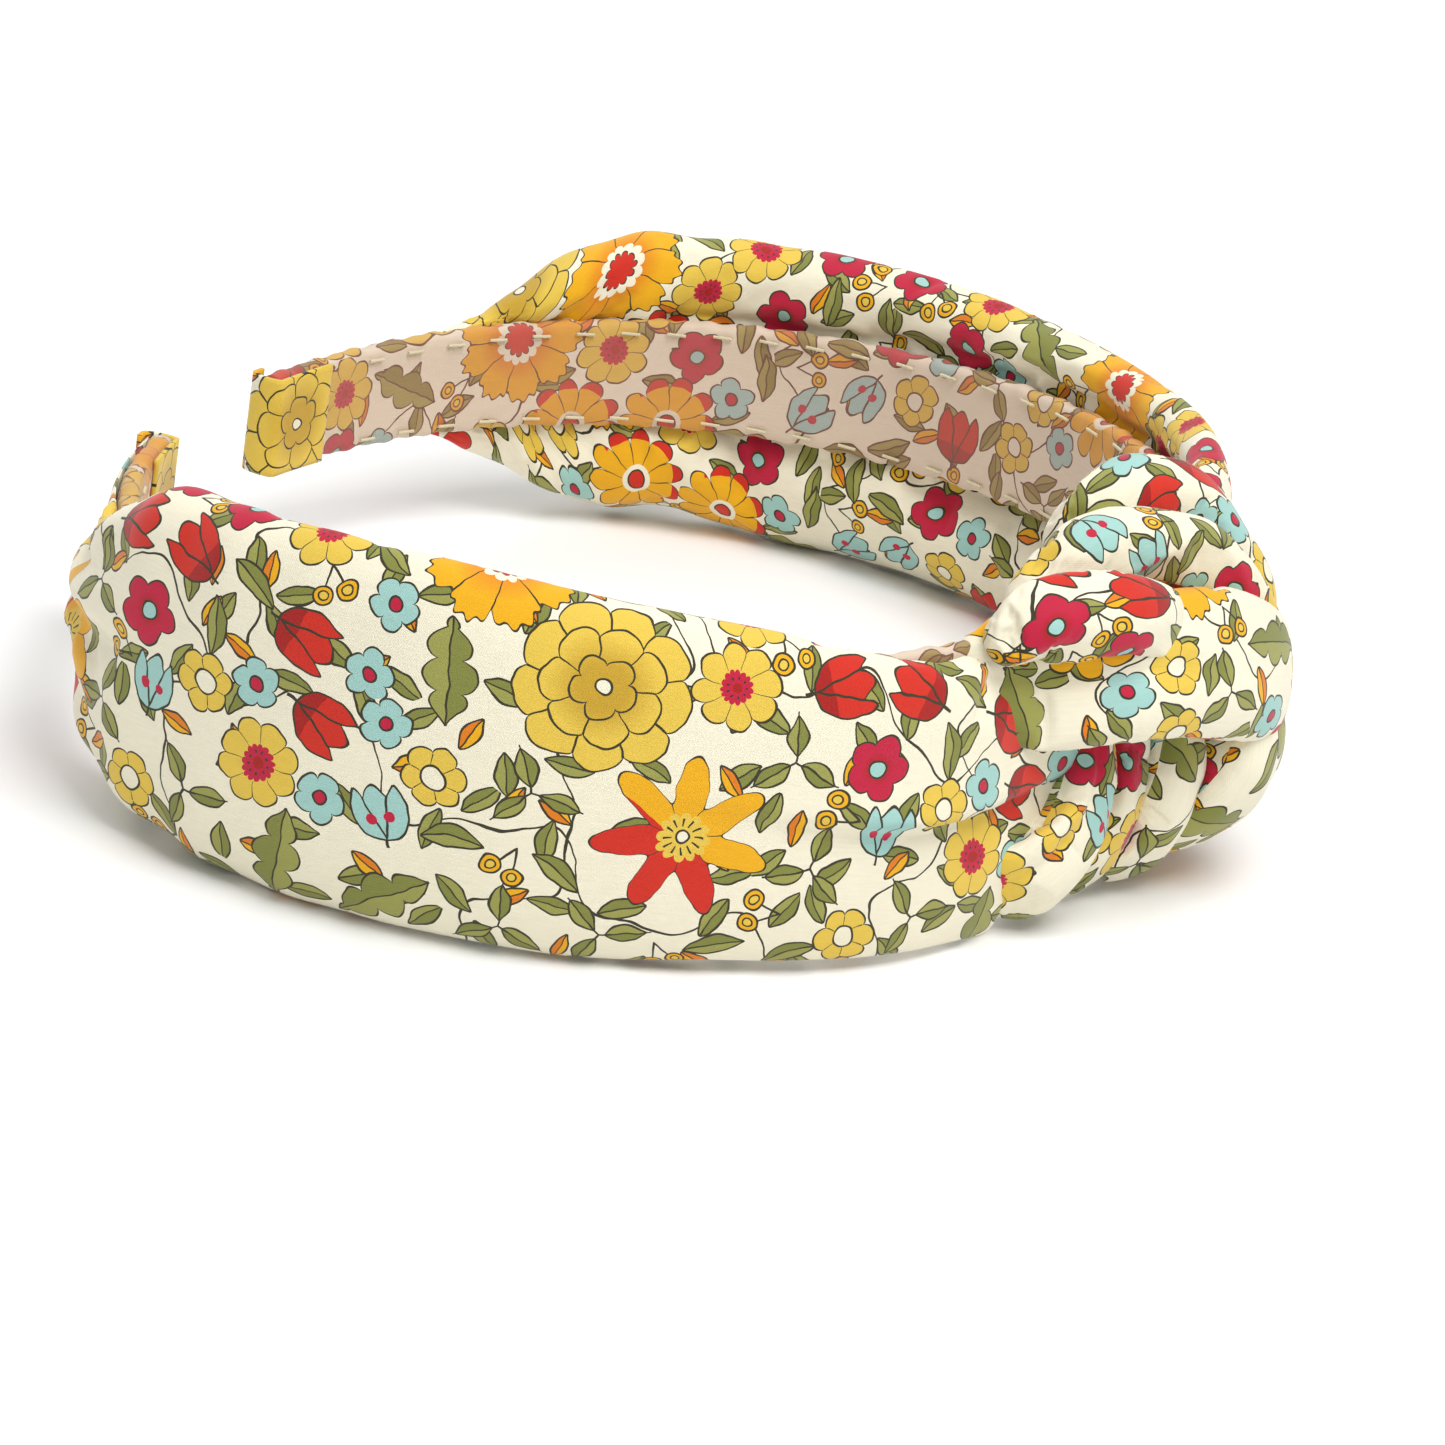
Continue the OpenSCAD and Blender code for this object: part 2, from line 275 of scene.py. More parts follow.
def settle(rings, pinned, grow, pressure, cap):
    """Rings of a tube after a cloth simulation: slack cloth under pressure, held where pinned.

    grow is the slack as a share of the cloth; no point moves more than cap mm."""
    start = rings[::2, ::2]
    count, sides, _ = start.shape
    index = np.arange(count * sides).reshape(count, sides)
    nxt = np.roll(index, -1, 1)
    quads = np.stack([index[:-1], nxt[:-1], nxt[1:], index[1:]], -1).reshape(-1, 4).tolist()
    caps = [index[0, ::-1].tolist(), index[-1].tolist()]
    mesh = bpy.data.meshes.new("settling")
    mesh.from_pydata((start.reshape(-1, 3) * MM * SIM_SCALE).tolist(), [], quads + caps)
    face_outward(mesh)
    obj = bpy.data.objects.new("settling", mesh)
    bpy.context.scene.collection.objects.link(obj)
    held = obj.vertex_groups.new(name="held")
    held.add(np.flatnonzero(pinned[::2, ::2].ravel()).tolist(), 1.0, "REPLACE")
    cloth = obj.modifiers.new("cloth", "CLOTH")
    cloth.point_cache.frame_end = SIM_FRAMES
    cloth.collision_settings.use_collision = False
    cloth.collision_settings.use_self_collision = False
    settings = cloth.settings
    settings.quality = 6
    settings.mass = 0.2
    settings.tension_stiffness = 25
    settings.compression_stiffness = 25
    settings.shear_stiffness = 8
    settings.bending_stiffness = SIM_BENDING
    settings.use_pressure = True
    settings.uniform_pressure_force = pressure
    settings.vertex_group_mass = "held"
    settings.shrink_min = -grow
    settings.effector_weights.gravity = 0.0
    for frame_number in range(1, SIM_FRAMES + 1):
        bpy.context.scene.frame_set(frame_number)
    shown = obj.evaluated_get(bpy.context.evaluated_depsgraph_get()).data
    moved = np.empty(count * sides * 3)
    shown.vertices.foreach_get("co", moved)
    bpy.context.scene.frame_set(1)
    bpy.data.objects.remove(obj)
    bpy.data.meshes.remove(mesh)
    shift = moved.reshape(count, sides, 3) / (MM * SIM_SCALE) - start
    far = np.linalg.norm(shift, axis=-1, keepdims=True)
    shift *= np.minimum(1.0, cap / np.maximum(far, 1e-6))
    return rings + halfway(halfway(shift, 0, False), 1, True)


# ---- Camera ----

CAMERA_AZIMUTH = -69.45
CAMERA_ELEVATION = 19.54
CAMERA_DISTANCE = 775.8
CAMERA_ROLL = 8.02
CAMERA_LENS = 162.5
# How far right of and below the hoop's middle the camera aims, in mm
AIM_RIGHT = 11.4
AIM_DOWN = 22.4


def make_camera():
    a, e, r = (math.radians(v) for v in (CAMERA_AZIMUTH, CAMERA_ELEVATION, CAMERA_ROLL))
    back = Vector((math.sin(a) * math.cos(e), -math.cos(a) * math.cos(e), math.sin(e)))
    level = back.cross(Vector((0, 0, 1))).normalized() * -1
    lift = back.cross(level)
    right = level * math.cos(r) + lift * math.sin(r)
    up = lift * math.cos(r) - level * math.sin(r)
    middle = Vector((0, CENTRE_SHIFT, REST_H))
    spot = middle + back * CAMERA_DISTANCE
    aim = middle + right * AIM_RIGHT - up * AIM_DOWN
    z = (spot - aim).normalized()
    x = (right - z * right.dot(z)).normalized()
    y = z.cross(x)
    data = bpy.data.cameras.new("camera")
    data.lens = CAMERA_LENS
    data.sensor_width = 36.0
    data.clip_start = 0.01
    camera = bpy.data.objects.new("camera", data)
    turn = Matrix((x, y, z)).transposed().to_4x4()
    camera.matrix_world = Matrix.Translation(spot * MM) @ turn
    bpy.context.scene.collection.objects.link(camera)
    bpy.context.scene.camera = camera


make_camera()
bpy.context.scene.view_settings.view_transform = "Standard"

# ---- Node helpers ----


class Graph:
    """Short calls that add shader nodes and give back their output sockets."""

    def __init__(self, tree):
        self.tree = tree

    def add(self, kind, **settings):
        node = self.tree.nodes.new(kind)
        for key, value in settings.items():
            setattr(node, key, value)
        return node

    def feed(self, socket, value):
        if isinstance(value, bpy.types.NodeSocket):
            self.tree.links.new(value, socket)
        else:
            socket.default_value = value

    def calc(self, operation, *values):
        node = self.add("ShaderNodeMath", operation=operation)
        for socket, value in zip(node.inputs, values):
            self.feed(socket, value)
        return node.outputs[0]

    def vector(self, operation, *values, out=0):
        node = self.add("ShaderNodeVectorMath", operation=operation)
        for socket, value in zip(node.inputs, values):
            self.feed(socket, value)
        return node.outputs[out]

    def reach(self, x, y):
        """Distance from the middle to (x, y)."""
        node = self.add("ShaderNodeCombineXYZ")
        self.feed(node.inputs[0], x)
        self.feed(node.inputs[1], y)
        return self.vector("LENGTH", node.outputs[0], out=1)

    def parts(self, v):
        node = self.add("ShaderNodeSeparateXYZ")
        self.feed(node.inputs[0], v)
        return node.outputs[0], node.outputs[1]

    def mix(self, factor, a, b, kind="RGBA"):
        node = self.add("ShaderNodeMix", data_type=kind)
        first = {"RGBA": 6, "VECTOR": 4, "FLOAT": 2}[kind]
        self.feed(node.inputs[0], factor)
        self.feed(node.inputs[first], a)
        self.feed(node.inputs[first + 1], b)
        return node.outputs[{"RGBA": 2, "VECTOR": 1, "FLOAT": 0}[kind]]

    def slide(self, v, shift, turn):
        """A place turned about the map's corner, then shifted."""
        node = self.add("ShaderNodeMapping", vector_type="POINT")
        self.feed(node.inputs[0], v)
        node.inputs["Location"].default_value = (*shift, 0)
        node.inputs["Rotation"].default_value = (0, 0, turn)
        return node.outputs[0]

    def noise(self, v, scale, detail=2.0, colour=False):
        node = self.add("ShaderNodeTexNoise", noise_dimensions="3D")
        self.feed(node.inputs["Vector"], v)
        node.inputs["Scale"].default_value = scale
        node.inputs["Detail"].default_value = detail
        return node.outputs["Color" if colour else "Fac"]


def paint(srgb):
    """A colour given as the eye sees it, turned into the linear colour that shaders use."""
    line = [c / 12.92 if c <= 0.04045 else ((c + 0.055) / 1.055) ** 2.4 for c in srgb]
    return (*line, 1.0)


CREAM = paint((0.930, 0.905, 0.810))
PALE_YELLOW = paint((0.880, 0.750, 0.290))
DEEP_YELLOW = paint((0.760, 0.610, 0.170))
MUSTARD = paint((0.910, 0.670, 0.050))
ORANGE = paint((0.860, 0.480, 0.060))
RED = paint((0.800, 0.160, 0.090))
DARK_RED = paint((0.640, 0.090, 0.060))
RASPBERRY = paint((0.740, 0.090, 0.230))
AQUA = paint((0.620, 0.790, 0.760))
OLIVE = paint((0.600, 0.600, 0.310))
DARK_OLIVE = paint((0.500, 0.515, 0.240))
INK = paint((0.215, 0.200, 0.130))

# ---- The print: a generic meadow of flowers, laid out by a seeded search ----

TILE = (80.0, 68.0)
INK_HALF_W = 0.12


def lay_out(seed):
    """Places for the motifs on a tile that repeats: each goes where it just fits."""
    rng = random.Random(seed)
    tries = 500
    squeeze = 0.93
    placed = []
    for draw, radius, count in MOTIFS:
        for _ in range(count):
            best = None
            for _ in range(tries):
                x = rng.uniform(0, TILE[0])
                y = rng.uniform(0, TILE[1])
                room = 40.0
                for _, px, py, _, taken in placed:
                    dx = abs(x - px)
                    dy = abs(y - py)
                    dx = min(dx, TILE[0] - dx)
                    dy = min(dy, TILE[1] - dy)
                    room = min(room, math.hypot(dx, dy) - taken)
                fits = room >= radius * squeeze
                score = -room if fits else room
                if best is None or (fits, score) > best[:2]:
                    best = (fits, score, x, y)
            placed.append((draw, best[2], best[3], rng.uniform(0, 2 * math.pi), radius))
    return [spot[:4] for spot in placed]


def nearest_place(g, point, places):
    """The place nearest to a point: where the point is from it, how far, and its turn.

    Only plain vector nodes are used: a conversion between kinds of value would be worked out
    late, and too many values would then wait on the renderer's small stack."""
    best = None
    half = (TILE[0] / 2, TILE[1] / 2, 1.0)
    for _, x, y, turn in places:
        away = g.vector("WRAP", g.vector("SUBTRACT", point, (x, y, 0.0)), half, tuple(-v for v in half))
        size = g.vector("LENGTH", away, out=1)
        if best is None:
            best = (away, size, turn)
        else:
            closer = g.calc("LESS_THAN", size, best[1])
            best = (g.mix(closer, best[0], away, "VECTOR"), g.calc("MINIMUM", size, best[1]),
                    g.mix(closer, best[2], turn, "FLOAT"))
    return best


class Motif:
    """Polar and plain coordinates of one motif, and the marks that draw it."""

    def __init__(self, g, nearest, radius, colour):
        away, size, turn = nearest
        along = g.calc("MULTIPLY", g.calc("COSINE", turn), 1 / radius)
        aside = g.calc("MULTIPLY", g.calc("SINE", turn), 1 / radius)
        x, y = g.parts(away)
        self.g = g
        self.r = g.calc("MULTIPLY", size, 1 / radius)
        self.x = g.calc("MULTIPLY_ADD", x, along, g.calc("MULTIPLY", y, aside))
        self.y = g.calc("SUBTRACT", g.calc("MULTIPLY", y, along), g.calc("MULTIPLY", x, aside))
        self.angle = g.calc("ARCTAN2", self.y, self.x)
        self.line = INK_HALF_W / radius
        self.colour = colour

    def ripple(self, count, phase=0.0):
        turned = self.g.calc("MULTIPLY_ADD", self.angle, count / 2, phase)
        return self.g.calc("ABSOLUTE", self.g.calc("COSINE", turned))

    def petals(self, count, low, high, power=0.6, phase=0.0):
        swell = self.g.calc("POWER", self.ripple(count, phase), power)
        return self.g.calc("MULTIPLY_ADD", swell, high - low, low)

    def inside(self, edge):
        return self.g.calc("LESS_THAN", self.r, edge)

    def arch(self, height):
        """How far a leaf along x reaches to each side."""
        return self.g.calc("MULTIPLY_ADD", self.g.calc("MULTIPLY", self.x, self.x), -height, height)

    def both(self, a, b):
        return self.g.calc("MULTIPLY", a, b)

    def fill(self, mask, tint):
        self.colour = self.g.mix(mask, self.colour, tint)

    def ring(self, edge, width=1.0):
        self.fill(self.g.calc("COMPARE", self.r, edge, self.line * width), INK)

    def stroke(self, mask):
        self.fill(mask, INK)

    def shade(self, mask, tint, start, reach):
        """A tint that comes in from the radius start over reach."""
        depth = self.g.calc("MULTIPLY_ADD", self.r, -1 / reach, start / reach)
        deep = self.g.calc("MINIMUM", self.g.calc("MAXIMUM", depth, 0.0), 1.0)
        self.fill(self.both(mask, deep), tint)

    def petal_lines(self, count, low, high, phase=0.0, thin=0.07):
        gap = self.g.calc("LESS_THAN", self.ripple(count, phase), thin)
        band = self.both(self.g.calc("GREATER_THAN", self.r, low), self.inside(high))
        self.stroke(self.both(gap, band))

    def eye(self, radius, tint, edge=True):
        self.fill(self.inside(radius), tint)
        if edge:
            self.ring(radius)


def draw_rosette(m):
    outer = m.petals(9, 0.84, 1.0)
    middle = m.petals(7, 0.56, 0.70, phase=0.9)
    inner = m.petals(5, 0.26, 0.38, phase=0.4)
    m.fill(m.inside(outer), PALE_YELLOW)
    m.shade(m.inside(middle), DEEP_YELLOW, 0.62, 0.35)
    m.petal_lines(9, middle, outer)
    m.petal_lines(7, inner, middle, phase=0.9)
    m.ring(outer)
    m.ring(middle)
    m.ring(inner)
    m.eye(0.09, CREAM)


def draw_carnation(m):
    fringe = m.g.calc("COSINE", m.g.calc("MULTIPLY", m.angle, 33.0))
    edge = m.g.calc("MULTIPLY_ADD", fringe, 0.035, m.petals(9, 0.78, 0.96, power=0.8))
    whole = m.inside(edge)
    m.fill(whole, MUSTARD)
    m.shade(whole, ORANGE, 0.66, 0.4)
    m.petal_lines(9, 0.34, edge)
    m.ring(edge)
    m.fill(m.inside(m.petals(13, 0.30, 0.38)), CREAM)
    core = m.petals(11, 0.17, 0.25)
    m.fill(m.inside(core), RED)
    m.ring(core, 0.8)


def draw_anemone(m):
    edge = m.petals(10, 0.66, 1.0, power=0.5)
    whole = m.inside(edge)
    m.fill(whole, MUSTARD)
    tips = m.both(m.g.calc("GREATER_THAN", m.r, 0.80), m.g.calc("GREATER_THAN", m.x, -0.1))
    m.fill(m.both(tips, whole), RED)
    m.petal_lines(10, 0.30, edge, thin=0.10)
    m.ring(edge)
    m.eye(0.30, CREAM, edge=False)
    m.eye(0.18, RED)


def draw_lily(m):
    point = m.g.calc("POWER", m.ripple(7), 1.9)
    edge = m.g.calc("MULTIPLY_ADD", point, 0.56, 0.42)
    whole = m.inside(edge)
    m.fill(whole, MUSTARD)
    slope = m.g.calc("MULTIPLY_ADD", m.y, 0.6, m.x)
    m.fill(m.both(whole, m.g.calc("LESS_THAN", slope, -0.05)), RED)
    m.petal_lines(7, 0.26, edge, thin=0.05)
    m.ring(edge)
    m.fill(m.inside(m.petals(12, 0.22, 0.30)), PALE_YELLOW)
    dots = m.g.calc("GREATER_THAN", m.ripple(12, 0.5), 0.93)
    m.stroke(m.both(dots, m.g.calc("COMPARE", m.r, 0.17, 0.05)))
    m.eye(0.07, CREAM)


def draw_daisy(m):
    edge = m.petals(8, 0.76, 1.0, power=0.5)
    m.fill(m.inside(edge), PALE_YELLOW)
    m.petal_lines(8, 0.42, edge, thin=0.06)
    m.ring(edge)
    ragged = m.petals(15, 0.34, 0.42)
    m.fill(m.inside(ragged), RASPBERRY)
    m.eye(0.13, DARK_RED, edge=False)
    dots = m.g.calc("GREATER_THAN", m.ripple(9), 0.9)
    m.stroke(m.both(dots, m.g.calc("COMPARE", m.r, 0.24, 0.035)))


def draw_cup(m, tint, deep, spots):
    """A tulip or bell: a rounded cup whose rim has three points."""
    g = m.g
    wave = g.calc("ABSOLUTE", g.calc("COSINE", g.calc("MULTIPLY", m.x, 4.9)))
    rim = g.calc("MULTIPLY_ADD", wave, 0.34, 0.42)
    across = g.calc("POWER", g.calc("ABSOLUTE", g.calc("DIVIDE", m.x, 0.70)), 2.0)
    up = g.calc("POWER", g.calc("ABSOLUTE", g.calc("DIVIDE", g.calc("ADD", m.y, -0.12), 0.86)), 2.0)
    egg = g.calc("ADD", across, up)
    whole = m.both(g.calc("LESS_THAN", egg, 1.0), g.calc("LESS_THAN", m.y, rim))
    m.fill(whole, tint)
    m.fill(m.both(whole, g.calc("LESS_THAN", m.y, -0.25)), deep)
    fold = g.calc("COMPARE", g.calc("ABSOLUTE", m.x), g.calc("MULTIPLY_ADD", m.y, 0.30, 0.20), 0.03)
    m.stroke(m.both(whole, fold))
    m.stroke(m.both(g.calc("LESS_THAN", m.y, rim), g.calc("COMPARE", egg, 1.0, m.line * 2.6)))
    m.stroke(m.both(g.calc("LESS_THAN", egg, 1.0), g.calc("COMPARE", m.y, rim, m.line * 1.4)))
    if spots:
        pair = g.reach(g.calc("SUBTRACT", g.calc("ABSOLUTE", m.x), 0.24), g.calc("ADD", m.y, 0.12))
        m.fill(g.calc("LESS_THAN", pair, 0.14), RASPBERRY)
    stem = m.both(g.calc("COMPARE", m.x, 0.0, 0.035), g.calc("LESS_THAN", m.y, -0.72))
    m.stroke(m.both(stem, m.inside(1.0)))


def draw_tulip(m):
    draw_cup(m, RED, DARK_RED, spots=False)


def draw_bell(m):
    draw_cup(m, AQUA, AQUA, spots=True)


def draw_ragged(m):
    edge = m.petals(5, 0.72, 1.0, power=0.8)
    whole = m.inside(edge)
    m.fill(whole, RASPBERRY)
    m.shade(whole, DARK_RED, 0.5, 0.3)
    m.ring(edge)
    m.eye(0.26, AQUA)


def draw_ring_flower(m):
    edge = m.petals(6, 0.74, 1.0, power=0.5)
    m.fill(m.inside(edge), PALE_YELLOW)
    m.ring(edge)
    m.eye(0.36, CREAM)
    m.petal_lines(6, 0.40, 0.72, thin=0.08)


def draw_star(m):
    edge = m.petals(5, 0.66, 1.0, power=0.5)
    m.fill(m.inside(edge), AQUA)
    m.ring(edge)
    m.eye(0.27, RASPBERRY)


def draw_leaf_shape(m, length, across, edge, vein, tint=OLIVE, deep=DARK_OLIVE):
    """Marks for a leaf, from places along and across it, its edge's place and its vein's width."""
    g = m.g
    side = g.calc("ABSOLUTE", across)
    whole = g.calc("LESS_THAN", side, edge)
    m.fill(whole, tint)
    m.fill(m.both(whole, g.calc("GREATER_THAN", across, 0.0)), deep)
    near = g.calc("LESS_THAN", g.calc("ABSOLUTE", length), 1.0)
    m.stroke(m.both(near, g.calc("COMPARE", side, edge, m.line)))
    m.stroke(m.both(near, g.calc("LESS_THAN", side, vein)))


def draw_leaf(m):
    """One leaf, bent along its length."""
    bent = m.g.calc("MULTIPLY_ADD", m.g.calc("MULTIPLY", m.x, m.x), 0.16, m.y)
    draw_leaf_shape(m, m.x, bent, m.arch(0.36), m.line * 0.8)


def draw_oak_leaf(m):
    g = m.g
    lobes = g.calc("ABSOLUTE", g.calc("COSINE", g.calc("MULTIPLY_ADD", m.x, 5.4, 0.5)))
    depth = g.calc("MULTIPLY_ADD", g.calc("POWER", lobes, 0.6), 0.55, 0.45)
    edge = g.calc("MULTIPLY", m.arch(0.46), depth)
    draw_leaf_shape(m, m.x, m.y, edge, m.line * 0.8)


def draw_sprig(m):
    """Three leaves on one stem."""
    g = m.g
    third = 2 * math.pi / 3
    turned = g.calc("WRAP", m.angle, third / 2, -third / 2)
    x = g.calc("MULTIPLY", m.r, g.calc("COSINE", turned))
    y = g.calc("MULTIPLY", m.r, g.calc("SINE", turned))
    middle = g.calc("SUBTRACT", x, 0.56)
    arch = g.calc("MULTIPLY_ADD", g.calc("MULTIPLY", middle, middle), -1.15, 0.21)
    draw_leaf_shape(m, g.calc("MULTIPLY", middle, 2.0), y, arch, m.line * 0.8)
    stalk = m.both(g.calc("COMPARE", y, 0.0, m.line), g.calc("LESS_THAN", x, 0.3))
    m.stroke(m.both(stalk, m.inside(1.0)))


def draw_berries(m):
    """Two ringed berries on a forked stalk."""
    g = m.g
    aside = g.calc("ABSOLUTE", m.x)
    to_berry = g.reach(g.calc("SUBTRACT", aside, 0.52), g.calc("SUBTRACT", m.y, 0.25))
    fork = g.calc("COMPARE", aside, g.calc("MULTIPLY_ADD", m.y, 0.45, 0.42), 0.05)
    m.stroke(m.both(m.both(fork, g.calc("LESS_THAN", m.y, 0.0)), m.inside(1.0)))
    m.fill(g.calc("LESS_THAN", to_berry, 0.42), MUSTARD)
    m.stroke(g.calc("COMPARE", to_berry, 0.42, m.line))
    m.fill(g.calc("LESS_THAN", to_berry, 0.20), PALE_YELLOW)
    m.stroke(g.calc("COMPARE", to_berry, 0.20, m.line * 0.8))


# Motif, radius in mm, and how many are in one repeat of the print
MOTIFS = [(draw_lily, 9.6, 1), (draw_rosette, 9.2, 1), (draw_carnation, 8.8, 1), (draw_anemone, 6.6, 2),
          (draw_oak_leaf, 6.0, 5), (draw_sprig, 5.2, 7), (draw_daisy, 4.8, 5), (draw_tulip, 4.7, 5),
          (draw_bell, 4.1, 4), (draw_ragged, 3.6, 5), (draw_ring_flower, 3.4, 6), (draw_leaf, 3.3, 13),
          (draw_star, 2.8, 8), (draw_berries, 2.6, 13)]


def draw_stems(g, point, colour):
    """Thin winding stems on the ground, behind every motif."""
    for turn, pitch, phase in ((0.35, 15.0, 0.0), (1.95, 19.0, 4.0)):
        x = g.vector("DOT_PRODUCT", point, (math.cos(turn), math.sin(turn), 0.0), out=1)
        y = g.vector("DOT_PRODUCT", point, (-math.sin(turn), math.cos(turn), 0.0), out=1)
        sway = g.calc("MULTIPLY", g.calc("SINE", g.calc("MULTIPLY_ADD", x, 0.27, phase)), 3.2)
        curl = g.calc("MULTIPLY", g.calc("SINE", g.calc("MULTIPLY", x, 0.61)), 1.1)
        line = g.calc("PINGPONG", g.calc("ADD", g.calc("ADD", y, sway), curl), pitch)
        colour = g.mix(g.calc("LESS_THAN", line, INK_HALF_W * 1.3), colour, INK)
    return colour


def draw_filler(g, point, colour):
    """Small leaves and buds, one to a cell of a jittered grid, behind the larger motifs."""
    for pitch, radius, tint, deep in ((7.4, 2.6, OLIVE, DARK_OLIVE), (11.5, 2.2, MUSTARD, ORANGE)):
        cells = g.add("ShaderNodeTexVoronoi", voronoi_dimensions="2D", feature="F1")
        g.feed(cells.inputs["Vector"], point)
        cells.inputs["Scale"].default_value = 1 / pitch
        cells.inputs["Randomness"].default_value = 0.85
        away = g.vector("SUBTRACT", point, cells.outputs["Position"])
        tone = g.add("ShaderNodeSeparateColor")
        g.feed(tone.inputs[0], cells.outputs["Color"])
        turn = g.calc("MULTIPLY", tone.outputs[0], 2 * math.pi)
        motif = Motif(g, (away, g.vector("LENGTH", away, out=1), turn), radius, colour)
        draw_leaf_shape(motif, motif.x, motif.y, motif.arch(0.42), motif.line * 0.7, tint, deep)
        colour = motif.colour
    return colour


def make_print_group(seed):
    """The print's colour for a place on the cloth in mm."""
    tree = bpy.data.node_groups.new("floral_print", "ShaderNodeTree")
    tree.interface.new_socket("Place", in_out="INPUT", socket_type="NodeSocketVector")
    tree.interface.new_socket("Color", in_out="OUTPUT", socket_type="NodeSocketColor")
    g = Graph(tree)
    entry = g.add("NodeGroupInput")
    wobble = g.vector("SUBTRACT", g.noise(entry.outputs[0], 0.22, 2.0, colour=True), (0.5, 0.5, 0.5))
    point = g.vector("MULTIPLY_ADD", wobble, (1.5, 1.5, 0.0), entry.outputs[0])
    # Where no motif is drawn the colour stays at pure black, and the ground shows instead
    colour = (0.0, 0.0, 0.0, 1.0)
    places = lay_out(seed)
    for draw, radius, _ in reversed(MOTIFS):
        motif = Motif(g, nearest_place(g, point, [p for p in places if p[0] is draw]), radius, colour)
        draw(motif)
        colour = motif.colour
    channels = g.add("ShaderNodeSeparateColor")
    g.feed(channels.inputs[0], colour)
    bare = g.calc("LESS_THAN", channels.outputs[0], 0.001)
    ground = draw_filler(g, point, draw_stems(g, point, CREAM))
    leave = g.add("NodeGroupOutput")
    g.feed(leave.inputs[0], g.mix(bare, colour, ground))
    return tree


PRINT = make_print_group(seed=11)
WARP_PITCH = 0.32
WEFT_PITCH = 0.30


def make_cloth(name, shift, turn=0.0, painted_shade=0.0, painted_shade_tint=CREAM):
    """Printed cotton lawn: the print, thread colour, weave and slubs in the bump, a soft sheen.

    shift and turn slide the print on the cloth; the last two set a painted shade: how far a darker, warmer
    tint covers the print, and that tint."""
    material = bpy.data.materials.new(name)
    material.use_nodes = True
    g = Graph(material.node_tree)
    shader = material.node_tree.nodes["Principled BSDF"]
    uv = g.add("ShaderNodeUVMap", uv_map="cloth").outputs[0]
    place_mm = g.vector("SCALE", uv)
    place_mm.node.inputs["Scale"].default_value = MAP_UNIT
    group = g.add("ShaderNodeGroup", node_tree=PRINT)
    g.feed(group.inputs[0], g.slide(place_mm, shift, turn))
    u, v = g.parts(place_mm)
    warp = g.calc("SINE", g.calc("MULTIPLY", u, 2 * math.pi / WARP_PITCH))
    weft = g.calc("SINE", g.calc("MULTIPLY", v, 2 * math.pi / WEFT_PITCH))
    weave = g.calc("MULTIPLY", warp, weft)
    slub = g.noise(g.vector("MULTIPLY", place_mm, (0.35, 3.5, 1.0)), 1.0, 2.0)
    patch = g.noise(place_mm, 0.07, 3.0)
    thread = g.calc("MULTIPLY_ADD", weave, 0.035, g.calc("MULTIPLY_ADD", slub, 0.14, 0.90))
    light = g.calc("MULTIPLY_ADD", patch, 0.06, -0.03)
    tone = g.calc("ADD", thread, light)
    # Painted shade: a darker, warm tint mixed over the whole print, standing in for shadow and light
    # bounced off nearby cloth
    print_with_painted_shade = g.mix(painted_shade, group.outputs[0], painted_shade_tint)
    toned = g.vector("SCALE", print_with_painted_shade)
    g.feed(toned.node.inputs["Scale"], tone)
    g.feed(shader.inputs["Base Color"], toned)
    g.feed(shader.inputs["Roughness"], g.calc("MULTIPLY_ADD", slub, 0.18, 0.63))
    shader.inputs["Sheen Weight"].default_value = 0.25
    shader.inputs["Sheen Roughness"].default_value = 0.45
    shader.inputs["Specular IOR Level"].default_value = 0.28
    height = g.calc("MULTIPLY_ADD", slub, 0.8, g.calc("MULTIPLY", weave, 0.5))
    bump = g.add("ShaderNodeBump")
    bump.inputs["Strength"].default_value = 0.35
    bump.inputs["Distance"].default_value = 0.00006
    g.feed(bump.inputs["Height"], height)
    g.feed(shader.inputs["Normal"], bump.outputs[0])
    return material


def make_plain(name, base, other, scale, roughness, distance, sheen=0.0):
    """A plain material whose tone, roughness and bump vary by a noise of its own."""
    material = bpy.data.materials.new(name)
    material.use_nodes = True
    g = Graph(material.node_tree)
    shader = material.node_tree.nodes["Principled BSDF"]
    where = g.add("ShaderNodeTexCoord").outputs["Object"]
    grain = g.noise(where, scale, 4.0)
    g.feed(shader.inputs["Base Color"], g.mix(grain, base, other))
    g.feed(shader.inputs["Roughness"], g.calc("MULTIPLY_ADD", grain, 0.2, roughness - 0.1))
    shader.inputs["Sheen Weight"].default_value = sheen
    bump = g.add("ShaderNodeBump")
    bump.inputs["Strength"].default_value = 0.4
    bump.inputs["Distance"].default_value = distance
    g.feed(bump.inputs["Height"], grain)
    g.feed(shader.inputs["Normal"], bump.outputs[0])
    return material


def dress(obj, material):
    obj.data.materials.clear()
    obj.data.materials.append(material)
    return obj


# ---- Baking a piece's place into its mesh ----


def bend_with_arm(obj):
    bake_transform(obj)


# ---- Cover ----

COVER_RINGS = 301
# Points of the mesh to one control point of the section, and the control point at its crest
COVER_PER = 7
CREST = 9


def hill(a, middle, reach):
    """A smooth bump: one at the middle, nearly nothing at twice the reach."""
    return np.exp(-((a - middle) / reach) ** 2)


